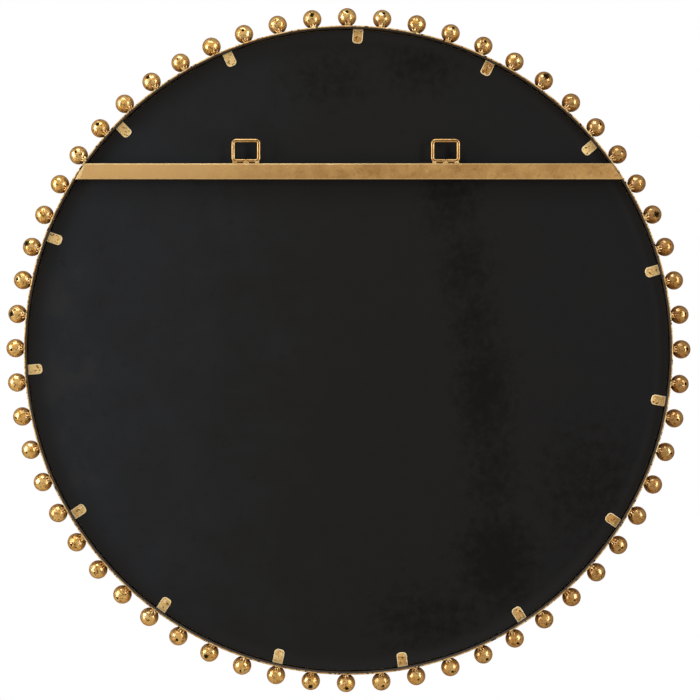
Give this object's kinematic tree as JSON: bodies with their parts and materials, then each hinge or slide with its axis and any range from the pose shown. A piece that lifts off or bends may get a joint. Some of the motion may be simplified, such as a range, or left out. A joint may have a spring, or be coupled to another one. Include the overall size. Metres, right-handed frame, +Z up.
{
  "type": "round wall mirror",
  "caption": "Round wall mirror in a thin gilded iron hoop edged with balls; its backing board is held by bent tabs, and a hanging bar carries square wire rings.",
  "frame": {"origin": "centre of the hoop, in the plane of its back edge, which lies on the wall", "axes": "+Y out of the back towards the wall, so the glass faces -Y; +Z up as hung; +X to the right seen from the front"},
  "size_m": [0.8166, 0.025, 0.8166],
  "materials": {
    "gilded_iron": "gold leaf over iron strip, satin, rubbed dark along its edges",
    "gilded_strip": "gold leaf over thin strip, wrinkled, with bright edges",
    "gilded_bar": "gold leaf over flat bar, satin and mottled",
    "gilded_weld": "gold leaf over weld, lumpy and glossy",
    "gilded_wire": "gold leaf over round wire, glossy",
    "gilded_ball": "gold leaf over iron ball, glossy, with dark worn specks",
    "silvered_glass": "polished float glass, silvered behind",
    "black_board": "hardboard painted near black, matt, faintly smudged"
  },
  "bodies": {
    "root": {"outer_hoop": "gilded_iron", "front_lip": "gilded_iron", "mirror_plate": "silvered_glass", "backing_board": "black_board", "retaining_tab_01": "gilded_strip", "retaining_tab_02": "gilded_strip", "retaining_tab_03": "gilded_strip", "retaining_tab_04": "gilded_strip", "retaining_tab_05": "gilded_strip", "retaining_tab_06": "gilded_strip", "retaining_tab_07": "gilded_strip", "retaining_tab_08": "gilded_strip", "retaining_tab_09": "gilded_strip", "retaining_tab_10": "gilded_strip", "retaining_tab_11": "gilded_strip", "retaining_tab_12": "gilded_strip", "retaining_tab_13": "gilded_strip", "retaining_tab_14": "gilded_strip", "retaining_tab_15": "gilded_strip", "hanging_bar": "gilded_bar", "bar_welds": "gilded_weld", "hanger_ring_left": "gilded_wire", "ring_welds_left": "gilded_weld", "hanger_ring_right": "gilded_wire", "ring_welds_right": "gilded_weld", "rim_balls": "gilded_ball", "ball_welds": "gilded_weld"}
  },
  "joints": []
}
